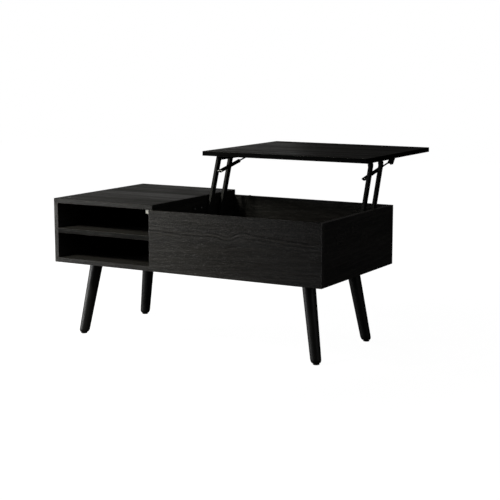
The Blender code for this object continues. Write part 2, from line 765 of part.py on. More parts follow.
def build_bracket_stud(unit, parent):
    """Stud through the top bracket's tab; it ends just short of the rod's eye."""
    eye_clearance = 0.0005
    tip = STRUT_LAYER - LUG_HALF_WIDTH - eye_clearance
    profile = [
        (TOP_WEB_BACK - TOUCH_GAP - RIVET_HEAD_HEIGHT, STUD_SHOULDER_RADIUS),
        (TOP_WEB_BACK - TOUCH_GAP, STUD_SHOULDER_RADIUS),
        (TOP_WEB_BACK - TOUCH_GAP, STUD_RADIUS),
        (TOP_WEB_FRONT + TOUCH_GAP, STUD_RADIUS),
        (TOP_WEB_FRONT + TOUCH_GAP, STUD_SHOULDER_RADIUS),
        (tip, STUD_SHOULDER_RADIUS),
    ]
    shape = turned([(unit.local(layer), radius) for layer, radius in profile], "X", 16)
    location = (unit.wall_x, STRUT_BRACKET_REACH, -STRUT_BRACKET_DROP)
    return make_node("bracket_stud_" + unit.side_name, shape, "bright_steel", parent, location)


def lug_outline(reach):
    """Flat eye of a strut end: round about the pin, with straight cheeks out to reach."""
    points = []
    half = ROUND_SEGMENTS // 2
    for step in range(half + 1):
        angle = math.pi / 2 + math.pi * step / half
        points.append((LUG_RADIUS * math.cos(angle), LUG_RADIUS * math.sin(angle)))
    return points + [(reach, -LUG_RADIUS), (reach, LUG_RADIUS)]


def lug_shape(reach):
    hole = circle(0.0, 0.0, LUG_HOLE_RADIUS, 16)
    return prism(lug_outline(reach), [hole], -LUG_HALF_WIDTH, LUG_HALF_WIDTH, "X")


def build_strut_tube(unit, parent):
    """Cylinder of the strut: a hollow tube with its guide at the open end, and an eye.

    It lies along the parent's Y axis, which starts at the stud.
    """
    outer = STRUT_TUBE_RADIUS
    guide = STRUT_ROD_RADIUS + TOUCH_GAP
    guide_start = STRUT_TUBE_LENGTH - STRUT_GUIDE_LENGTH
    end_wall = 0.006
    chamfer = 0.0012
    eye_overlap = 0.003
    profile = [
        (STRUT_TUBE_START + end_wall, STRUT_BORE_RADIUS),
        (guide_start, STRUT_BORE_RADIUS),
        (guide_start, guide),
        (STRUT_TUBE_LENGTH, guide),
        (STRUT_TUBE_LENGTH, outer - chamfer),
        (STRUT_TUBE_LENGTH - chamfer, outer),
        (STRUT_TUBE_START + chamfer, outer),
        (STRUT_TUBE_START, outer - chamfer),
    ]
    location = (unit.x(STRUT_LAYER), 0.0, 0.0)
    name = "strut_tube_" + unit.side_name
    tube = make_node(name, turned(profile, "Y"), "black_steel", parent, location)
    eye = make_node(name + "_eye", lug_shape(STRUT_TUBE_START + eye_overlap), "black_steel", parent, location)
    combine(tube, eye, "UNION")
    return tube


def build_strut_rod(unit, parent):
    """Rod of the strut, with its piston inside the tube and an eye at the bracket's stud.

    It lies along the parent's Y axis and ends at the raised strut's full reach.
    """
    piston_start = STRUT_REACH - STRUT_ROD_LENGTH
    piston_length = 0.006
    piston_radius = STRUT_BORE_RADIUS - TOUCH_GAP
    eye_overlap = (LUG_RADIUS - LUG_HOLE_RADIUS) / 2
    rod_end = STRUT_REACH - LUG_RADIUS + eye_overlap
    profile = [
        (piston_start, piston_radius),
        (piston_start + piston_length, piston_radius),
        (piston_start + piston_length, STRUT_ROD_RADIUS),
        (rod_end, STRUT_ROD_RADIUS),
    ]
    location = (unit.x(STRUT_LAYER), 0.0, 0.0)
    name = "strut_rod_" + unit.side_name
    rod = make_node(name, turned(profile, "Y"), "bright_steel", parent, location)
    eye_shape = turned(
        [
            (-LUG_HALF_WIDTH, LUG_HOLE_RADIUS),
            (-LUG_HALF_WIDTH, LUG_RADIUS),
            (LUG_HALF_WIDTH, LUG_RADIUS),
            (LUG_HALF_WIDTH, LUG_HOLE_RADIUS),
        ],
        "X",
        ROUND_SEGMENTS,
        closed=True,
    )
    eye_location = (location[0], STRUT_REACH, 0.0)
    eye = make_node(name + "_eye", eye_shape, "bright_steel", parent, eye_location)
    combine(rod, eye, "UNION")
    return rod


# ---------------------------------------------------------------- lift top and assembly

def build_lift_top(parent):
    """Board of the lift top; the parent stands on the front top pivot."""
    low = (LIFT_TOP_LEFT, -TOP_PIVOT_SETBACK, TOP_PIVOT_DROP)
    high = (HALF_LENGTH, TABLE_DEPTH - TOP_PIVOT_SETBACK, TOP_PIVOT_DROP + BOARD)
    board("lift_top", low, high, parent)


def build_lift(parent):
    units = (
        LiftUnit("left", DIVIDER_RIGHT, 1.0, True),
        LiftUnit("right", INNER_RIGHT, -1.0, False),
    )
    top_pivot = make_empty("top_pivot", (0.0, TOP_PIVOT_Y, TOP_PIVOT_Z), parent)
    stud_axis = make_empty("stud_axis", (0.0, STUD_Y, STUD_Z), parent)
    strut_axis = make_empty("strut_axis", (0.0, STUD_Y, STUD_Z), parent, (STRUT_ANGLE, 0.0, 0.0))
    build_lift_top(top_pivot)
    for unit in units:
        build_base_bracket(unit, parent)
        for place, y_offset in (("front", 0.0), ("rear", ARM_SPACING)):
            build_base_pin(unit, place, y_offset, parent)
            build_arm(unit, place, y_offset, place == "front", parent)
            build_top_pin(unit, place, y_offset, top_pivot)
        build_top_bracket(unit, top_pivot)
        build_arm_stud(unit, stud_axis)
        build_bracket_stud(unit, top_pivot)
        build_strut_tube(unit, strut_axis)
        build_strut_rod(unit, strut_axis)


def build_table():
    clear_scene()
    carcass = make_empty("carcass_centre", (0.0, CARCASS_Y, 0.0))
    build_carcass(carcass)
    build_carcass_fittings(carcass)
    build_legs(carcass)
    build_lift(carcass)


build_table()
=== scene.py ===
import json
import math
from itertools import product

import bmesh
import bpy
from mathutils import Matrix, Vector


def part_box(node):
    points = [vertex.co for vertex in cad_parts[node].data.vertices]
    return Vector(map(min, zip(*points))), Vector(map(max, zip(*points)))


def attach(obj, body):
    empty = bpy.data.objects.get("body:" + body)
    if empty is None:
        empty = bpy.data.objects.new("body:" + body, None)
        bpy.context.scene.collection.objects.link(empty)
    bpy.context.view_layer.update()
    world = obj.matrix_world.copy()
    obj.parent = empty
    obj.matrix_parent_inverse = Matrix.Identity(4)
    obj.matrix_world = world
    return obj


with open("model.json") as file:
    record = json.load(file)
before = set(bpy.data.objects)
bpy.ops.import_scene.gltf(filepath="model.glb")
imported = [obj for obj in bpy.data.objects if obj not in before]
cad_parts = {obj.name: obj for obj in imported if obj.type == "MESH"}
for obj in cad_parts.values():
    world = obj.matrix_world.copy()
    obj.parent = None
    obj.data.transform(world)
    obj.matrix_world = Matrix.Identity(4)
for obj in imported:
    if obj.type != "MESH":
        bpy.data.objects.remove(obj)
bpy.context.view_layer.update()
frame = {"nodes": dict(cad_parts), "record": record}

RECORD = frame["record"]
SIDES = ("left", "right")
AXES = "XYZ"
MM = 0.001
UP = (0.0, 0.0, 1.0)
DOWN = (0.0, 0.0, -1.0)

# ---------------------------------------------------------------- camera, light and floor

CAMERA_AZIMUTH = math.radians(29.92)
CAMERA_ELEVATION = math.radians(9.10)
CAMERA_ROLL = math.radians(-0.04)
CAMERA_DISTANCE = 4.067
CAMERA_TARGET = Vector((0.1002, -0.145, 0.2928))
CAMERA_LENS = 92.6
FILM_WIDTH = 36.0

BACKDROP_WHITE = 1.0
ROOM_LIGHT = 0.023
ROOM_COLOUR = (1.0, 0.985, 0.96, 1.0)

FLOOR_REACH = 6.0
FLOOR_NEAR, FLOOR_FAR = 0.5, 1.8
FLOOR_WHITE_NEAR, FLOOR_WHITE_FAR = 0.97, 1.0
FLOOR_SEEN_GREY = 0.30
FLOOR_BOUNCE_GREY = 0.10


def build_camera():
    back = Vector((
        math.sin(CAMERA_AZIMUTH) * math.cos(CAMERA_ELEVATION),
        -math.cos(CAMERA_AZIMUTH) * math.cos(CAMERA_ELEVATION),
        math.sin(CAMERA_ELEVATION),
    ))
    data = bpy.data.cameras.new("camera")
    data.lens = CAMERA_LENS
    data.sensor_width = FILM_WIDTH
    camera = bpy.data.objects.new("camera", data)
    camera.location = CAMERA_TARGET + back * CAMERA_DISTANCE
    camera.rotation_euler = (-back).to_track_quat("-Z", "Y").to_euler()
    camera.rotation_euler.rotate_axis("Z", CAMERA_ROLL)
    bpy.context.scene.collection.objects.link(camera)
    bpy.context.scene.camera = camera


def build_world():
    """White backdrop behind a dim, even room."""
    world = bpy.data.worlds.new("studio")
    bpy.context.scene.world = world
    world.use_nodes = True
    tree = world.node_tree
    room = tree.nodes["Background"]
    room.inputs["Color"].default_value = ROOM_COLOUR
    room.inputs["Strength"].default_value = ROOM_LIGHT
    backdrop = tree.nodes.new("ShaderNodeBackground")
    backdrop.inputs["Color"].default_value = grey(1.0)
    backdrop.inputs["Strength"].default_value = BACKDROP_WHITE
    path = tree.nodes.new("ShaderNodeLightPath")
    choice = tree.nodes.new("ShaderNodeMixShader")
    tree.links.new(path.outputs["Is Camera Ray"], choice.inputs[0])
    tree.links.new(room.outputs[0], choice.inputs[1])
    tree.links.new(backdrop.outputs[0], choice.inputs[2])
    tree.links.new(choice.outputs[0], tree.nodes["World Output"].inputs["Surface"])


def floor_material():
    """White to the camera, with shadows that fade out far off, and dull grey to bounced light."""
    material = bpy.data.materials.new("pale_floor")
    material.use_nodes = True
    tree = material.node_tree
    tree.nodes.remove(tree.nodes["Principled BSDF"])
    place = tree.nodes.new("ShaderNodeTexCoord")
    reach = tree.nodes.new("ShaderNodeVectorMath")
    reach.operation = "LENGTH"
    fade = tree.nodes.new("ShaderNodeMapRange")
    fade.interpolation_type = "SMOOTHSTEP"
    fade.inputs["From Min"].default_value = FLOOR_NEAR
    fade.inputs["From Max"].default_value = FLOOR_FAR
    fade.inputs["To Min"].default_value = FLOOR_WHITE_NEAR
    fade.inputs["To Max"].default_value = FLOOR_WHITE_FAR
    glow = tree.nodes.new("ShaderNodeEmission")
    tree.links.new(place.outputs["Object"], reach.inputs[0])
    tree.links.new(reach.outputs["Value"], fade.inputs["Value"])
    tree.links.new(fade.outputs[0], glow.inputs["Strength"])
    lit = tree.nodes.new("ShaderNodeBsdfDiffuse")
    lit.inputs["Color"].default_value = grey(FLOOR_SEEN_GREY)
    seen = tree.nodes.new("ShaderNodeAddShader")
    bounce = tree.nodes.new("ShaderNodeBsdfDiffuse")
    bounce.inputs["Color"].default_value = grey(FLOOR_BOUNCE_GREY)
    path = tree.nodes.new("ShaderNodeLightPath")
    choice = tree.nodes.new("ShaderNodeMixShader")
    tree.links.new(glow.outputs[0], seen.inputs[0])
    tree.links.new(lit.outputs[0], seen.inputs[1])
    tree.links.new(path.outputs["Is Camera Ray"], choice.inputs[0])
    tree.links.new(bounce.outputs[0], choice.inputs[1])
    tree.links.new(seen.outputs[0], choice.inputs[2])
    tree.links.new(choice.outputs[0], tree.nodes["Material Output"].inputs["Surface"])
    return material


def build_floor():
    """Pale sweep that shows white, with only a faint shadow under the legs."""
    mesh = bpy.data.meshes.new("floor")
    signs = ((-1, -1), (1, -1), (1, 1), (-1, 1))
    corners = [(x * FLOOR_REACH, y * FLOOR_REACH, 0.0) for x, y in signs]
    mesh.from_pydata(corners, [], [(0, 1, 2, 3)])
    floor = bpy.data.objects.new("floor", mesh)
    bpy.context.scene.collection.objects.link(floor)
    mesh.materials.append(floor_material())


def place_lamp(name, data, place, aim):
    lamp = bpy.data.objects.new(name, data)
    lamp.location = place
    lamp.rotation_euler = (Vector(aim) - Vector(place)).to_track_quat("-Z", "Y").to_euler()
    lamp.visible_camera = False
    bpy.context.scene.collection.objects.link(lamp)


def build_panel_lamp(name, place, aim, size, watts):
    data = bpy.data.lights.new(name, "AREA")
    data.shape = "RECTANGLE"
    data.size, data.size_y = size
    data.energy = watts
    place_lamp(name, data, place, aim)


def build_key_lamp():
    """Soft spot from the upper front left, which fades out along the front panel."""
    data = bpy.data.lights.new("key", "SPOT")
    data.spot_size = math.radians(44.0)
    data.spot_blend = 1.0
    data.shadow_soft_size = 0.24
    data.energy = 122.0
    data.color = (1.0, 0.98, 0.85)
    place_lamp("key", data, (-0.88, -1.65, 1.85), (-0.44, -0.38, 0.42))


def build_lamps():
    """The key, side lamps for the ends and legs, and back lamps for the gloss of the tops."""
    build_key_lamp()
    build_panel_lamp("left_panel", (-2.05, -1.30, 0.30), (0.0, -0.20, 0.15), (0.9, 0.9), 23.0)
    build_panel_lamp("left_side", (-2.20, 0.30, 0.60), (0.0, 0.0, 0.30), (1.0, 0.8), 8.0)
    build_panel_lamp("back_left", (-2.30, 1.15, 0.80), (-0.30, -0.10, 0.50), (0.6, 0.4), 3.2)
    build_panel_lamp("back_wide", (-1.90, 2.50, 0.95), (0.0, -0.10, 0.50), (1.4, 0.6), 0.62)
    build_panel_lamp("front_fill", (0.60, -3.00, 2.20), (0.0, -0.15, 0.35), (1.4, 1.0), 1.0)
    build_panel_lamp("right_fill", (3.20, -0.70, 1.20), (0.45, 0.0, 0.30), (1.5, 1.5), 3.0)


# ---------------------------------------------------------------- materials

WHITE_PLASTIC = (0.80, 0.80, 0.77, 1.0)


class Shade:
    """A material's node tree, with short calls for the nodes it is made of."""

    def __init__(self, name):
        self.material = bpy.data.materials.new(name)
        self.material.use_nodes = True
        self.tree = self.material.node_tree
        self.shader = self.tree.nodes["Principled BSDF"]
        self.place = self.node("ShaderNodeTexCoord").outputs["Object"]

    def node(self, kind, **settings):
        made = self.tree.nodes.new(kind)
        for key, value in settings.items():
            setattr(made, key, value)
        return made

    def feed(self, socket, value):
        if isinstance(value, bpy.types.NodeSocket):
            self.tree.links.new(value, socket)
        else:
            socket.default_value = value

    def math(self, operation, first, second=0.0):
        made = self.node("ShaderNodeMath", operation=operation)
        self.feed(made.inputs[0], first)
        self.feed(made.inputs[1], second)
        return made.outputs[0]

    def add(self, first, second):
        return self.math("ADD", first, second)

    def minus(self, first, second):
        return self.math("SUBTRACT", first, second)

    def times(self, first, second):
        return self.math("MULTIPLY", first, second)

    def least(self, first, second):
        return self.math("MINIMUM", first, second)

    def most(self, first, second):
        return self.math("MAXIMUM", first, second)

    def hypotenuse(self, first, second):
        squared = self.add(self.times(first, first), self.times(second, second))
        return self.math("SQRT", squared)

    def centred(self, noise):
        """Noise about nought instead of about a half."""
        return self.minus(noise, 0.5)

    def waves(self, distance, spacing):
        return self.math("SINE", self.times(distance, 2 * math.pi / spacing))

    def total(self, layers):
        """Sum of layers, each a value and its weight."""
        summed = None
        for value, weight in layers:
            layer = self.times(value, weight)
            summed = layer if summed is None else self.add(summed, layer)
        return summed

    def ramp(self, value, low, high, start=0.0, end=1.0):
        """Smooth step from start to end as the value goes from low to high."""
        made = self.node("ShaderNodeMapRange", interpolation_type="SMOOTHSTEP")
        for socket, number in zip(made.inputs, (value, low, high, start, end)):
            self.feed(socket, number)
        return made.outputs[0]

    def bell(self, value, centre, width):
        """1 at the centre, falling smoothly to nought about two widths away."""
        offset = self.math("DIVIDE", self.minus(value, centre), width)
        return self.math("POWER", math.e, self.times(self.times(offset, offset), -1.0))

    def stretch(self, scale, shift):
        made = self.node("ShaderNodeMapping")
        self.feed(made.inputs["Vector"], self.place)
        made.inputs["Scale"].default_value = scale
        made.inputs["Location"].default_value = shift
        return made.outputs[0]

    def noise(self, scale, detail, roughness=0.55, shift=(0.0, 0.0, 0.0), distortion=0.0):
        made = self.node("ShaderNodeTexNoise")
        self.feed(made.inputs["Vector"], self.stretch(scale, shift))
        made.inputs["Scale"].default_value = 1.0
        made.inputs["Detail"].default_value = detail
        made.inputs["Roughness"].default_value = roughness
        made.inputs["Distortion"].default_value = distortion
        return made.outputs[0]

    def axes(self):
        made = self.node("ShaderNodeSeparateXYZ")
        self.feed(made.inputs[0], self.place)
        return made.outputs

    def mix(self, share, first, second):
        """Mix of two colours, by the numbers of the node's colour sockets."""
        made = self.node("ShaderNodeMix", data_type="RGBA")
        self.feed(made.inputs[0], share)
        self.feed(made.inputs[6], first)
        self.feed(made.inputs[7], second)
        return made.outputs[2]

    def bump(self, height, distance):
        made = self.node("ShaderNodeBump")
        made.inputs["Distance"].default_value = distance
        self.feed(made.inputs["Height"], height)
        self.feed(self.shader.inputs["Normal"], made.outputs[0])

    def set(self, **values):
        """Feeds the shader's sockets, each named with _ for its spaces."""
        for key, value in values.items():
            self.feed(self.shader.inputs[key.replace("_", " ")], value)


def grey(value, warmth=0.0):
    return (value * (1.0 + warmth), value, value * (1.0 - warmth), 1.0)


def scaled(grain, along, across):
    """Texture scale along the grain's axis and across it."""
    return tuple(along if axis == grain else across for axis in AXES)


DARK_INK = 0.0125
LIGHT_INK = 0.0470
WORN_INK = 0.072
SEAM_INK = 0.004
# Painted highlight down the front panel's corner.
CORNER_PAINTED_HIGHLIGHT = 0.060
# Painted highlight along the top rims.
RIM_PAINTED_HIGHLIGHT = 0.030
BOARD_GLOSS = 0.42
EDGE_BAND_GLOSS = 0.04
RING_SPACING = 17 * MM
RING_WANDER = 30 * MM
LOG_AXIS_DEPTH = 35 * MM
WAVE_DEPTH = 64 * MM
WAVE_SPACING = 12 * MM
KNOT_SPACING = 8.5 * MM

# Each knot's share of the way back, its share of the way down, and its size.
KNOTS = ((0.22, 0.30, 1.0), (0.42, 0.22, 0.75), (0.55, 0.40, 0.6))


class Laminate(Shade):
    """Black woodgrain laminate of one board: printed grain, pores, edge band and wear."""

    def __init__(self, node_name, grain, seed):
        super().__init__("laminate_" + node_name)
        self.low, self.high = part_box(node_name)
        self.grain = grain
        self.seed = seed
        shift = (1.7 * seed, 0.9 * seed, 2.3 * seed)
        dashes = self.noise(scaled(grain, 34.0, 330.0), 2.0, 0.5, shift)
        pores = self.noise(scaled(grain, 75.0, 900.0), 2.0, 0.5, shift)
        self.streaks = self.noise(scaled(grain, 1.6, 34.0), 5.0, 0.62, shift, 0.25)
        self.broad = self.noise(scaled(grain, 1.1, 17.0), 3.0, 0.6, shift)
        self.fibres = self.noise(scaled(grain, 11.0, 240.0), 3.0, 0.6, shift)
        self.stipple = self.noise(scaled(grain, 210.0, 190.0), 1.0, 0.5, shift)
        self.smudges = self.noise((5.0, 5.0, 5.0), 3.0, 0.6, shift)
        self.dashes = self.ramp(dashes, 0.54, 0.68)
        self.pores = self.ramp(pores, 0.60, 0.70)
        self.rings = self.ramp(self.growth_rings(), 0.45, 1.0)
        edge = self.edge_distance()
        ragged = self.add(edge, self.times(self.centred(self.stipple), 1.0 * MM))
        self.wear = self.ramp(ragged, 1.3 * MM, 0.3 * MM)
        self.seam = self.times(self.bell(edge, 1.3 * MM, 0.22 * MM), 0.7)

    def depth_in(self, axis):
        """Distance in from the nearer of the board's two sides across one axis."""
        coordinate = self.axes()[axis]
        from_low = self.minus(coordinate, self.low[axis])
        from_high = self.minus(self.high[axis], coordinate)
        return self.least(from_low, from_high)

    def edge_distance(self):
        """Distance from the nearest edge of the board, as measured across its faces."""
        first, second, third = [self.depth_in(axis) for axis in range(3)]
        lesser = self.least(first, second)
        greater = self.most(first, second)
        return self.most(lesser, self.least(greater, third))

    def growth_rings(self):
        """Arched growth rings of a plain sawn board: rings of a log whose axis leans to it."""
        coordinates = dict(zip(AXES, self.axes()))
        sizes = {axis: high - low for axis, low, high in zip(AXES, self.low, self.high)}
        middle = {axis: (high + low) / 2 for axis, low, high in zip(AXES, self.low, self.high)}
        across = [axis for axis in AXES if axis != self.grain]
        wide, thin = sorted(across, key=lambda axis: -sizes[axis])
        lean = 0.05 + 0.03 * math.sin(self.seed)
        wide_offset = 0.16 * sizes[wide] * math.sin(2.1 * self.seed)
        drift = self.times(self.minus(coordinates[self.grain], middle[self.grain]), lean)
        from_centre = self.minus(coordinates[wide], self.add(drift, middle[wide] + wide_offset))
        depth = self.minus(coordinates[thin], middle[thin] - LOG_AXIS_DEPTH)
        wobble = self.noise(scaled(self.grain, 3.5, 9.0), 3.0, 0.5, (self.seed,) * 3)
        radius = self.hypotenuse(from_centre, depth)
        radius = self.add(radius, self.times(self.centred(wobble), RING_WANDER))
        return self.waves(radius, RING_SPACING)

    def wave_figure(self):
        """The one strong figure of the front panel: a wavy band a third of the way down."""
        x, _, z = self.axes()
        left = self.low[0]
        length = self.high[0] - self.low[0]
        dip = self.times(self.bell(x, left + 0.47 * length, 30 * MM), -8 * MM)
        crest = self.times(self.bell(x, left + 0.56 * length, 26 * MM), 6 * MM)
        fall = self.ramp(x, left + 0.66 * length, left + 0.97 * length, 0.0, -9 * MM)
        start = self.ramp(x, left, left + 0.22 * length, 2 * MM, 0.0)
        bends = self.add(self.add(dip, crest), self.add(fall, start))
        sway = self.times(self.centred(self.noise((7.0, 2.0, 5.0), 2.0)), 12 * MM)
        line = self.add(self.high[2] - WAVE_DEPTH, bends)
        from_line = self.minus(z, self.add(line, sway))
        near = self.bell(from_line, 3 * MM, 11.5 * MM)
        patches = self.noise((13.0, 3.0, 60.0), 3.0, 0.6, (4.0, 1.0, 2.0))
        patches = self.ramp(patches, 0.36, 0.62, 0.15, 1.0)
        return self.times(self.times(self.waves(from_line, WAVE_SPACING), near), patches)

    def knot_figure(self):
        """Small knots near the front of the side panel, each with a few rings round it."""
        _, y, z = self.axes()
        length = self.high[1] - self.low[1]
        drop = self.high[2] - self.low[2]
        wander = self.times(self.centred(self.noise((2.0, 26.0, 44.0), 3.0)), 44 * MM)
        knots = []
        for along, down, size in KNOTS:
            from_y = self.times(self.minus(y, self.low[1] + along * length), 0.55)
            from_z = self.minus(z, self.high[2] - down * drop)
            radius = self.add(self.hypotenuse(from_y, from_z), wander)
            near = self.bell(radius, 6 * MM, 16 * MM * size)
            knots.append((self.times(self.waves(radius, KNOT_SPACING), near), size))
        return self.total(knots)

    def add_figure(self, light, height, kind):
        """Adds the board's own figure, if it has one, to its print and its relief."""
        if kind == "knots":
            knots = self.knot_figure()
            light = self.add(light, self.times(knots, 0.45))
            height = self.add(height, self.times(knots, 0.8))
        if kind == "wave":
            wave = self.wave_figure()
            light = self.add(light, self.times(wave, 0.40))
            height = self.add(height, self.times(wave, 1.4))
            top = self.high[2]
            above = self.ramp(self.axes()[2], top - 85 * MM, top - 55 * MM)
            speckle = self.times(self.centred(self.stipple), above)
            light = self.add(light, self.times(speckle, 0.70))
        return light, height

    def face_ink_and_painted_light(self, light, tone, edge_band_shade):
        """Grain colours, worn pale at the edges, with a dark line where the band starts. The tone
        and the edge darkening scale them lighter or darker as painted light and shade.
        """
        colour_with_painted_light = self.mix(light, grey(DARK_INK * tone, 0.05), grey(LIGHT_INK * tone, 0.06))
        # The worn colour is darkened by the edge darkening too, which is painted shade.
        worn_and_painted_shade = grey(WORN_INK * tone * edge_band_shade, 0.03)
        colour_with_painted_light = self.mix(self.times(self.wear, 0.20), colour_with_painted_light, worn_and_painted_shade)
        return self.mix(self.seam, colour_with_painted_light, grey(SEAM_INK))

    def add_painted_corner_highlight(self, colour_with_painted_light):
        """Painted highlight: a pale line down the corner where the front panel meets the side
        panel.
        """
        right = self.high[0]
        corner = self.ramp(self.axes()[0], right - 3.2 * MM, right - 1.2 * MM)
        return self.mix(self.times(corner, 0.6), colour_with_painted_light, grey(CORNER_PAINTED_HIGHLIGHT, 0.03))

    def add_painted_rim_highlight(self, colour_with_painted_light, rim_highlight):
        """Painted highlight: a lighter top edge, where the band catches the light."""
        top = self.high[2]
        on_rim = self.ramp(self.axes()[2], top - 1.2 * MM, top - 0.3 * MM)
        return self.mix(on_rim, colour_with_painted_light, grey(RIM_PAINTED_HIGHLIGHT * rim_highlight, 0.03))

    def on_edge_band(self):
        """1 on the board's thin sides and 0 on its two faces."""
        thin = min(range(3), key=lambda axis: self.high[axis] - self.low[axis])
        return self.ramp(self.depth_in(thin), 0.2 * MM, 1.0 * MM)

    def face_roughness(self):
        """Smudges and fibres, and glossier along the light streaks."""
        rough = self.ramp(self.smudges, 0.3, 0.7, 0.36, 0.44)
        rough = self.add(rough, self.times(self.fibres, 0.06))
        bands = self.add(self.streaks, self.broad)
        rough = self.add(rough, self.ramp(bands, 0.80, 1.20, 0.10, -0.10))
        return self.minus(rough, self.times(self.wear, 0.06))


def laminate(node_name, grain, seed, tone=1.0, figure="", edge_band_shade=None, rim_highlight=None):
    """Laminate material of one board, with its tone as painted light and shade over the whole
    board. A darkening for the edge gives it a matt edge band of its own, whose print is darkened
    as painted shade.
    """
    board = Laminate(node_name, grain, seed)
    light = board.total((
        (board.streaks, 0.52),
        (board.fibres, 0.36),
        (board.dashes, 0.20),
        (board.rings, 0.10),
        (board.broad, 0.30),
        (board.stipple, 0.10),
    ))
    height = board.total(((board.fibres, 0.7), (board.dashes, 0.45), (board.rings, 0.35)))
    light, height = board.add_figure(light, height, figure)
    light = board.ramp(light, 0.46, 0.94)
    height = board.minus(height, board.times(board.pores, 0.8))
    # The tone paints light or shade over the whole board's colour.
    colour_with_painted_light = board.face_ink_and_painted_light(light, tone, 1.0 if edge_band_shade is None else edge_band_shade)
    rough = board.face_roughness()
    # The pale corner line is a painted highlight.
    if figure == "wave":
        colour_with_painted_light = board.add_painted_corner_highlight(colour_with_painted_light)
    # The lighter rim is a painted highlight.
    if rim_highlight is not None:
        colour_with_painted_light = board.add_painted_rim_highlight(colour_with_painted_light, rim_highlight)
    if edge_band_shade is None:
        board.set(Specular_IOR_Level=BOARD_GLOSS)
    else:
        on_band = board.on_edge_band()
        # The edge band's print, darkened as painted shade, darkest on the lift top's edge.
        band_ink_and_shade = board.mix(light, grey(DARK_INK * edge_band_shade), grey(LIGHT_INK * edge_band_shade))
        colour_with_painted_light = board.mix(on_band, colour_with_painted_light, band_ink_and_shade)
        rough = board.add(rough, board.times(on_band, 0.20))
        gloss = board.ramp(on_band, 0.0, 1.0, BOARD_GLOSS, EDGE_BAND_GLOSS)
        board.set(Specular_IOR_Level=gloss)
    board.set(Base_Color=colour_with_painted_light, Roughness=rough)
    board.bump(board.minus(height, board.times(board.seam, 1.5)), 0.35 * MM)
    return board.material


def leg_lacquer(name):
    """Satin black paint over turned wood, with its grain just telegraphing through."""
    shade = Shade(name)
    grain = shade.noise((150.0, 150.0, 6.0), 4.0, 0.6)
    waves = shade.noise((22.0, 22.0, 30.0), 2.0, 0.5)
    speck = shade.noise((900.0, 900.0, 900.0), 2.0, 0.5)
    scuffs = shade.ramp(shade.noise((90.0, 90.0, 260.0), 4.0, 0.7), 0.60, 0.72)
    low_down = shade.ramp(shade.axes()[2], 50 * MM, 4 * MM)
    scuffs = shade.times(scuffs, shade.add(shade.times(low_down, 0.6), 0.06))
    paint = shade.mix(shade.ramp(grain, 0.35, 0.7), grey(0.0080), grey(0.0125))
    paint = shade.mix(scuffs, paint, grey(0.06))
    rough = shade.add(shade.ramp(waves, 0.3, 0.7, 0.42, 0.50), shade.times(scuffs, 0.15))
    shade.set(Base_Color=paint, Roughness=rough, Specular_IOR_Level=0.60)
    fine = shade.add(shade.times(waves, 0.8), shade.times(speck, 0.05))
    shade.bump(shade.add(shade.times(grain, 0.5), fine), 0.05 * MM)
    return shade.material


def powder_coat(name, tone, grain="Z"):
    """Black powder coat on pressed steel: fine orange peel, dull rubs and a few scratches."""
    shade = Shade(name)
    peel = shade.noise((1300.0, 1300.0, 1300.0), 2.0, 0.5)
    rubs = shade.noise((35.0, 35.0, 35.0), 4.0, 0.65)
    lines = shade.noise(scaled(grain, 30.0, 1500.0), 2.0, 0.5)
    scratches = shade.times(shade.ramp(lines, 0.66, 0.74), shade.ramp(rubs, 0.50, 0.62))
    coat = shade.mix(shade.ramp(rubs, 0.35, 0.65), grey(0.016 * tone), grey(0.024 * tone))
    coat = shade.mix(scratches, coat, grey(0.12 * tone))
    rough = shade.add(shade.ramp(rubs, 0.3, 0.7, 0.56, 0.68), shade.times(peel, 0.06))
    shade.set(Base_Color=coat, Roughness=rough, Specular_IOR_Level=0.25)
    shade.bump(shade.minus(peel, shade.times(scratches, 1.5)), 0.06 * MM)
    return shade.material


def bare_steel(name, tone, low_rough, high_rough):
    """Plated or turned steel: tool marks, faint stains and small scratches."""
    shade = Shade(name)
    marks = shade.noise((1800.0, 260.0, 260.0), 3.0, 0.6)
    stains = shade.noise((60.0, 60.0, 60.0), 4.0, 0.65)
    lines = shade.ramp(shade.noise((90.0, 2600.0, 1500.0), 2.0, 0.5), 0.64, 0.72)
    metal = shade.mix(shade.ramp(stains, 0.35, 0.65), grey(tone * 0.82), grey(tone))
    metal = shade.mix(shade.times(lines, 0.4), metal, grey(tone * 0.5))
    rough = shade.ramp(stains, 0.3, 0.7, low_rough, high_rough)
    rough = shade.add(rough, shade.times(marks, 0.08))
    shade.set(Base_Color=metal, Roughness=rough, Metallic=1.0)
    shade.bump(shade.minus(marks, lines), 0.03 * MM)
    return shade.material


def moulded(name, colour, low_rough, high_rough, grain_size, depth):
    """Moulded plastic or rubber: fine matt texture with slightly uneven gloss."""
    shade = Shade(name)
    fine = shade.noise((grain_size, grain_size, grain_size), 3.0, 0.6)
    flow = shade.noise((40.0, 40.0, 90.0), 3.0, 0.6)
    darker = tuple(channel * 0.82 for channel in colour[:3]) + (1.0,)
    body = shade.mix(shade.ramp(flow, 0.35, 0.65), darker, colour)
    rough = shade.ramp(flow, 0.3, 0.7, low_rough, high_rough)
    rough = shade.add(rough, shade.times(fine, 0.06))
    shade.set(Base_Color=body, Roughness=rough)
    shade.bump(fine, depth)
    return shade.material


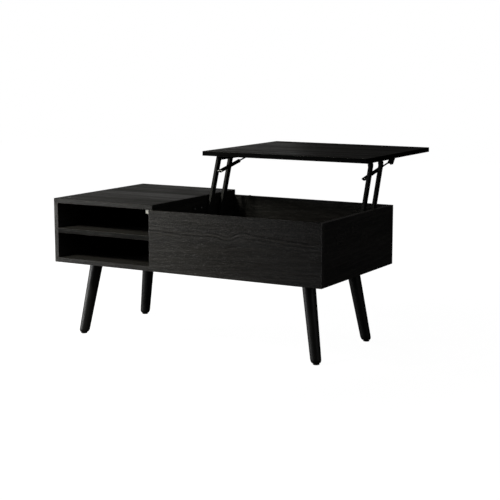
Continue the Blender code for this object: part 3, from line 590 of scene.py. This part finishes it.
def build_finishes():
    return {
        "leg": leg_lacquer("satin_leg_paint"),
        "arm": powder_coat("powder_coat_arms", 1.1),
        "plate": powder_coat("powder_coat_plates", 0.9, "Y"),
        "tube": powder_coat("painted_strut_tube", 0.35, "Y"),
        "bright": bare_steel("bright_steel", 0.72, 0.16, 0.26),
        "rod": bare_steel("chromed_rod", 0.62, 0.10, 0.18),
        "zinc": bare_steel("zinc_plate", 0.55, 0.30, 0.42),
        "screw": bare_steel("zinc_screws", 0.70, 0.24, 0.36),
        "dark_steel": powder_coat("blackened_steel", 0.8),
        "plastic": moulded("black_plastic", grey(0.014), 0.42, 0.52, 700.0, 0.05 * MM),
        "rubber": moulded("black_rubber", grey(0.012), 0.66, 0.78, 500.0, 0.08 * MM),
        "white": moulded("white_plastic", WHITE_PLASTIC, 0.36, 0.46, 600.0, 0.04 * MM),
    }


# ---------------------------------------------------------------- looks of the CAD pieces

EDGE_ROUNDING = 0.6 * MM
EDGE_SEGMENTS = 2
SHARP_BOARD_ANGLE = math.radians(50.0)
FLAT_ANGLE = math.radians(1.0)
GENTLE_BEND = math.radians(32.0)
MERGE_REACH = 0.02 * MM
ROUND_FACE_WEIGHT = 90

# A piece takes the finish of the first name start that fits it.
FINISH_BY_START = {
    "leg_plate": "plate",
    "leg_bolt": "zinc",
    "leg_": "leg",
    "foot_glide": "plastic",
    "base_bracket": "plate",
    "base_pin": "dark_steel",
    "arm_stud": "bright",
    "arm_": "arm",
    "top_bracket": "plate",
    "top_pin": "dark_steel",
    "bracket_stud": "dark_steel",
    "strut_tube": "tube",
    "strut_rod": "rod",
    "corner_block": "white",
    "rim_bumper": "rubber",
}
ROUND_STARTS = (
    "leg_front", "leg_back", "leg_bolt", "foot_glide", "base_pin", "top_pin",
    "arm_stud", "bracket_stud", "strut_tube", "strut_rod", "rim_bumper",
)


def add_softened_edges(piece):
    """Rounds a board's sharp edges slightly, as edge banding and trimming do."""
    weld = piece.modifiers.new("weld", "WELD")
    weld.merge_threshold = MERGE_REACH
    flat = piece.modifiers.new("flat", "DECIMATE")
    flat.decimate_type = "DISSOLVE"
    flat.angle_limit = FLAT_ANGLE
    bevel = piece.modifiers.new("bevel", "BEVEL")
    bevel.width = EDGE_ROUNDING
    bevel.segments = EDGE_SEGMENTS
    bevel.limit_method = "ANGLE"
    bevel.angle_limit = SHARP_BOARD_ANGLE
    bevel.harden_normals = True


def build_smoother():
    """Node group that joins a piece's split corners and shades its gentle bends smooth."""
    group = bpy.data.node_groups.new("smooth_round_faces", "GeometryNodeTree")
    for in_out in ("INPUT", "OUTPUT"):
        group.interface.new_socket(
            "Geometry", in_out=in_out, socket_type="NodeSocketGeometry")
    start = group.nodes.new("NodeGroupInput")
    merge = group.nodes.new("GeometryNodeMergeByDistance")
    merge.inputs["Distance"].default_value = MERGE_REACH
    forget = group.nodes.new("GeometryNodeRemoveAttribute")
    forget.inputs["Name"].default_value = "custom_normal"
    faces = group.nodes.new("GeometryNodeSetShadeSmooth")
    faces.domain = "FACE"
    edges = group.nodes.new("GeometryNodeSetShadeSmooth")
    edges.domain = "EDGE"
    bend = group.nodes.new("GeometryNodeInputMeshEdgeAngle")
    gentle = group.nodes.new("ShaderNodeMath")
    gentle.operation = "LESS_THAN"
    gentle.inputs[1].default_value = GENTLE_BEND
    end = group.nodes.new("NodeGroupOutput")
    group.links.new(start.outputs[0], merge.inputs["Geometry"])
    group.links.new(merge.outputs[0], forget.inputs["Geometry"])
    group.links.new(forget.outputs[0], faces.inputs["Geometry"])
    group.links.new(faces.outputs[0], edges.inputs["Geometry"])
    group.links.new(bend.outputs["Unsigned Angle"], gentle.inputs[0])
    group.links.new(gentle.outputs[0], edges.inputs["Shade Smooth"])
    group.links.new(edges.outputs[0], end.inputs[0])
    return group


def add_round_shading(piece, smoother):
    smooth = piece.modifiers.new("smooth", "NODES")
    smooth.node_group = smoother
    weighted = piece.modifiers.new("weighted", "WEIGHTED_NORMAL")
    weighted.mode = "FACE_AREA"
    weighted.weight = ROUND_FACE_WEIGHT
    weighted.keep_sharp = True


def dress(node_name, material):
    piece = frame["nodes"][node_name]
    piece.data.materials.clear()
    piece.data.materials.append(material)
    return piece


def dress_boards():
    """Each board has grain of its own and the tone that it shows in the photograph: the tone is
    painted light and shade, making the one laminate lighter or darker board by board.
    """
    # Tones below 1 are painted shade, as on the boards inside the box; tones above 1 are painted
    # light.
    boards = {
        "front_panel": dict(grain="X", seed=1.3, figure="wave", rim_highlight=4.2),
        "fixed_top": dict(grain="X", seed=2.9, tone=0.60),
        # The lift top's edge darkening of 0.12 paints its edge band in shade.
        "lift_top": dict(grain="X", seed=4.2, tone=1.15, edge_band_shade=0.12),
        "left_side_panel": dict(grain="Y", seed=5.1),
        "right_side_panel": dict(
            grain="Y", seed=6.6, tone=1.15, figure="knots", rim_highlight=3.0),
        "divider_panel": dict(grain="Y", seed=7.4, tone=0.8),
        "back_panel": dict(grain="X", seed=8.8, tone=0.5),
        "bottom_panel": dict(grain="X", seed=9.5, tone=0.85),
        "cubby_shelf": dict(grain="X", seed=10.7, tone=0.9, edge_band_shade=0.75),
    }
    for node_name, settings in boards.items():
        add_softened_edges(dress(node_name, laminate(node_name, **settings)))


def dress_metal_and_trim(finishes):
    smoother = build_smoother()
    for node_name in frame["nodes"]:
        fitting = [start for start in FINISH_BY_START if node_name.startswith(start)]
        if not fitting:
            continue
        piece = dress(node_name, finishes[FINISH_BY_START[fitting[0]]])
        if node_name.startswith(ROUND_STARTS):
            add_round_shading(piece, smoother)


# ---------------------------------------------------------------- small hardware

JOINTS = {joint["name"]: joint for joint in RECORD["behaviour"]["joints"]}
BASE_PIVOT_Y, BASE_PIVOT_Z = JOINTS["lift"]["pos_m"][1:]
TOP_PIVOT_Y = JOINTS["top_level"]["pos_m"][1]
ARM_STUD_Y, ARM_STUD_Z = JOINTS["strut_swing_left"]["pos_m"][1:]

# The board that each lift unit stands on, and the direction from it into the box.
WALLS = {"left": ("divider_panel", 1.0), "right": ("right_side_panel", -1.0)}

# Layers of a lift unit, measured from its wall into the box.
BRACKET_PLATE_FRONT = 2.3 * MM
STRUT_LAYER = 24 * MM
FLANGE_LAYER = 25.5 * MM
CLIP_LAYER = 27 * MM

SCREW_SIDES = 32
SCREW_HEAD_RADIUS = 3.8 * MM
SCREW_HEAD_HEIGHT = 1.7 * MM
SCREW_HEAD_CHAMFER = 0.12 * MM
SCREW_SHANK_RADIUS = 1.9 * MM
SCREW_SHANK_LENGTH = 1.4 * MM
SCREW_GAP = 0.05 * MM
CROWN_SHARES = (1.0, 0.97, 0.92, 0.84, 0.74, 0.63, 0.52, 0.42, 0.32, 0.24, 0.16, 0.08, 0.0)
RECESS_REACH = 2.3 * MM
RECESS_WIDTH = 0.5 * MM
RECESS_DEPTH = 0.8 * MM

# Screw places, in mm from a pivot: (back, up) on a base bracket, and back on a flange.
BASE_BRACKET_SCREWS = ((-62, 55), (-22, 55), (108, 34), (108, -10), (-34, -10))
TOP_FLANGE_SCREWS = (-12, 38, 120, 190)
FLANGE_DROP = 2.3 * MM
LEG_PLATE_SCREW_SPREAD = 21 * MM

CAP_SIDES = 48
CAP_RADIUS = 7.5 * MM
CAP_HEIGHT = 0.8 * MM
CAP_INSET = 34 * MM

STRUT_TUBE_END = 122 * MM
STRUT_TUBE_RADIUS = 6 * MM
NOSE_SIDES = 40
NOSE_OVERLAP = 3.6 * MM
NOSE_LENGTH = 5 * MM
NOSE_BORE_RADIUS = 3.2 * MM
NOSE_SHELL = 0.28 * MM
NOSE_FIT = 0.04 * MM

CLIP_SIDES = 32
CLIP_RADIUS = 4.5 * MM
CLIP_BORE_RADIUS = 3.06 * MM
CLIP_THICKNESS = 1.1 * MM
CLIP_CHAMFER = 0.2 * MM


def spin_mesh(name, profile, place, axis, sides, height_of=None):
    """Closed turned piece. Its profile lists (along the axis, radius) from end to end."""
    turn = Vector(UP).rotation_difference(Vector(axis)).to_matrix()
    mesh = bmesh.new()
    rows = []
    for along, radius in profile:
        row = []
        for step in range(sides if radius > 0.0 else 1):
            angle = 2 * math.pi * step / sides
            across = Vector((radius * math.cos(angle), radius * math.sin(angle), 0.0))
            height = height_of(across, along) if height_of else along
            point = Vector(place) + turn @ (across + Vector((0.0, 0.0, height)))
            row.append(mesh.verts.new(point))
        rows.append(row)
    pairs = list(zip(rows, rows[1:]))
    if len(rows[0]) > 1:
        pairs.append((rows[-1], rows[0]))
    for low_row, high_row in pairs:
        for step in range(sides):
            after = (step + 1) % sides
            if len(low_row) == 1:
                corners = (low_row[0], high_row[after], high_row[step])
            elif len(high_row) == 1:
                corners = (low_row[step], low_row[after], high_row[0])
            else:
                corners = (low_row[step], low_row[after], high_row[after], high_row[step])
            mesh.faces.new(corners)
    bmesh.ops.recalc_face_normals(mesh, faces=mesh.faces)
    data = bpy.data.meshes.new(name)
    mesh.to_mesh(data)
    mesh.free()
    data.set_sharp_from_angle(angle=math.radians(40.0))
    for polygon in data.polygons:
        polygon.use_smooth = True
    piece = bpy.data.objects.new(name, data)
    bpy.context.scene.collection.objects.link(piece)
    return piece


def finish_piece(piece, material, body):
    piece.data.materials.append(material)
    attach(piece, body)


def wall_of(side):
    """The face of the board that a lift unit stands on, and the direction into the box."""
    wall_node, inboard = WALLS[side]
    low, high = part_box(wall_node)
    return (high.x if inboard > 0 else low.x), inboard


def recessed(across, along):
    """Height of a screw head's crown, pressed in along the two arms of its cross recess."""
    if along < 0.5 * SCREW_HEAD_HEIGHT:
        return along
    reach = max(abs(across.x), abs(across.y))
    offset = min(abs(across.x), abs(across.y))
    if reach > RECESS_REACH or offset > RECESS_WIDTH:
        return along
    slope = 1.0 - reach / (RECESS_REACH * 1.35)
    return along - RECESS_DEPTH * max(0.25, slope)


def build_screw(name, place, axis, material, body):
    """Pan head screw with a cross recess; its shank drops through the plate's hole."""
    profile = [
        (-SCREW_SHANK_LENGTH, 0.0),
        (-SCREW_SHANK_LENGTH, SCREW_SHANK_RADIUS),
        (0.0, SCREW_SHANK_RADIUS),
        (0.0, 0.97 * SCREW_HEAD_RADIUS),
        (SCREW_HEAD_CHAMFER, SCREW_HEAD_RADIUS),
    ]
    for share in CROWN_SHARES:
        rise = math.sqrt(max(0.0, 1.0 - share * share))
        crown = SCREW_HEAD_HEIGHT * (0.45 + 0.55 * rise)
        profile.append((crown, SCREW_HEAD_RADIUS * share))
    screw = spin_mesh(name, profile, place, axis, SCREW_SIDES, recessed)
    finish_piece(screw, material, body)


def build_base_bracket_screws(side, material):
    """Five screws through a base bracket into its wall."""
    wall_x, inboard = wall_of(side)
    head_x = wall_x + inboard * (BRACKET_PLATE_FRONT + SCREW_GAP)
    for number, (back, up) in enumerate(BASE_BRACKET_SCREWS):
        place = (head_x, BASE_PIVOT_Y + back * MM, BASE_PIVOT_Z + up * MM)
        name = "base_bracket_screw_%s_%d" % (side, number)
        build_screw(name, place, (inboard, 0.0, 0.0), material, "carcass")


def build_top_bracket_screws(side, material):
    """Four screws up through a top bracket's flange into the lift top."""
    wall_x, inboard = wall_of(side)
    flange_x = wall_x + inboard * FLANGE_LAYER
    head_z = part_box("lift_top")[0].z - FLANGE_DROP - SCREW_GAP
    for number, back in enumerate(TOP_FLANGE_SCREWS):
        place = (flange_x, TOP_PIVOT_Y + back * MM, head_z)
        name = "top_bracket_screw_%s_%d" % (side, number)
        build_screw(name, place, DOWN, material, "raised_top")


def build_leg_plate_screws(material):
    """Four screws up through each leg's mounting plate."""
    for node_name in frame["nodes"]:
        if not node_name.startswith("leg_plate"):
            continue
        low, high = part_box(node_name)
        middle = (low + high) / 2
        offsets = (-LEG_PLATE_SCREW_SPREAD, LEG_PLATE_SCREW_SPREAD)
        for number, (y, x) in enumerate(product(offsets, offsets)):
            place = (middle.x + x, middle.y + y, low.z - SCREW_GAP)
            build_screw("%s_screw_%d" % (node_name, number), place, DOWN, material, "carcass")


def build_cap(name, place, axis, material):
    """Thin cover cap pressed over a cam lock: rounded rim, groove and shallow dome."""
    profile = [
        (0.05 * MM, 0.0),
        (0.05 * MM, 0.985 * CAP_RADIUS),
        (0.25 * CAP_HEIGHT, CAP_RADIUS),
        (0.62 * CAP_HEIGHT, 0.985 * CAP_RADIUS),
        (0.85 * CAP_HEIGHT, 0.94 * CAP_RADIUS),
        (0.93 * CAP_HEIGHT, 0.80 * CAP_RADIUS),
        (0.86 * CAP_HEIGHT, 0.76 * CAP_RADIUS),
        (0.88 * CAP_HEIGHT, 0.50 * CAP_RADIUS),
        (0.93 * CAP_HEIGHT, 0.0),
    ]
    cap = spin_mesh(name, profile, place, axis, CAP_SIDES)
    finish_piece(cap, material, "carcass")


def build_shelf_caps(material):
    low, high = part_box("cubby_shelf")
    across = (low.x + CAP_INSET, high.x - CAP_INSET)
    back = (low.y + 2 * CAP_INSET, high.y - 2 * CAP_INSET)
    for number, (x, y) in enumerate(product(across, back)):
        build_cap("shelf_cam_cap_%d" % number, (x, y, low.z), DOWN, material)


def build_bottom_caps(material):
    low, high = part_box("bottom_panel")
    divider_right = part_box("divider_panel")[1].x
    middle = (low.y + high.y) / 2
    across = (low.x + CAP_INSET, divider_right + CAP_INSET, high.x - CAP_INSET)
    back = (middle - CAP_INSET, middle + CAP_INSET)
    for number, (x, y) in enumerate(product(across, back)):
        build_cap("bottom_cam_cap_%d" % number, (x, y, low.z), DOWN, material)


def build_front_caps(material):
    low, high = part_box("front_panel")
    box_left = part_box("divider_panel")[1].x
    box_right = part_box("right_side_panel")[0].x
    across = (box_left + CAP_INSET, box_right - CAP_INSET)
    up = (low.z + 2 * CAP_INSET, high.z - CAP_INSET)
    for number, (x, z) in enumerate(product(across, up)):
        build_cap("front_cam_cap_%d" % number, (x, high.y, z), (0.0, 1.0, 0.0), material)


def build_strut_nose(side, material):
    """Rolled end cap on a strut's tube, round its rod."""
    stud_low, stud_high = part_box("bracket_stud_left")
    far_end = (stud_low + stud_high) / 2
    direction = Vector((0.0, far_end.y - ARM_STUD_Y, far_end.z - ARM_STUD_Z)).normalized()
    inner = STRUT_TUBE_RADIUS + NOSE_FIT
    outer = STRUT_TUBE_RADIUS + NOSE_SHELL
    profile = [
        (0.0, inner),
        (0.0, outer - 0.08 * MM),
        (0.12 * MM, outer),
        (NOSE_OVERLAP, outer),
        (NOSE_LENGTH - 0.5 * MM, outer - 0.5 * MM),
        (NOSE_LENGTH, outer - 1.6 * MM),
        (NOSE_LENGTH, NOSE_BORE_RADIUS),
        (NOSE_OVERLAP + 0.1 * MM, NOSE_BORE_RADIUS),
        (NOSE_OVERLAP + 0.1 * MM, inner),
    ]
    wall_x, inboard = wall_of(side)
    stud = Vector((wall_x + inboard * STRUT_LAYER, ARM_STUD_Y, ARM_STUD_Z))
    start = stud + direction * (STRUT_TUBE_END - NOSE_OVERLAP)
    nose = spin_mesh("strut_nose_" + side, profile, start, direction, NOSE_SIDES)
    finish_piece(nose, material, "tube_" + side)


def build_stud_clip(side, material):
    """Spring clip that holds a strut's eye on the front arm's stud."""
    rim = CLIP_RADIUS - CLIP_CHAMFER
    profile = [
        (0.0, CLIP_BORE_RADIUS),
        (0.0, rim),
        (CLIP_CHAMFER, CLIP_RADIUS),
        (CLIP_THICKNESS - CLIP_CHAMFER, CLIP_RADIUS),
        (CLIP_THICKNESS, rim),
        (CLIP_THICKNESS, CLIP_BORE_RADIUS),
    ]
    wall_x, inboard = wall_of(side)
    place = (wall_x + inboard * CLIP_LAYER, ARM_STUD_Y, ARM_STUD_Z)
    axis = (inboard, 0.0, 0.0)
    clip = spin_mesh("stud_clip_" + side, profile, place, axis, CLIP_SIDES)
    finish_piece(clip, material, "front_arm_" + side)


# ---------------------------------------------------------------- the whole scene

build_camera()
build_world()
build_floor()
build_lamps()
bpy.context.scene.view_settings.view_transform = "Standard"

FINISHES = build_finishes()
dress_boards()
dress_metal_and_trim(FINISHES)
for side in SIDES:
    build_base_bracket_screws(side, FINISHES["screw"])
    build_top_bracket_screws(side, FINISHES["screw"])
build_leg_plate_screws(FINISHES["screw"])
build_shelf_caps(FINISHES["plastic"])
build_bottom_caps(FINISHES["plastic"])
build_front_caps(FINISHES["plastic"])
for side in SIDES:
    build_strut_nose(side, FINISHES["dark_steel"])
    build_stud_clip(side, FINISHES["bright"])
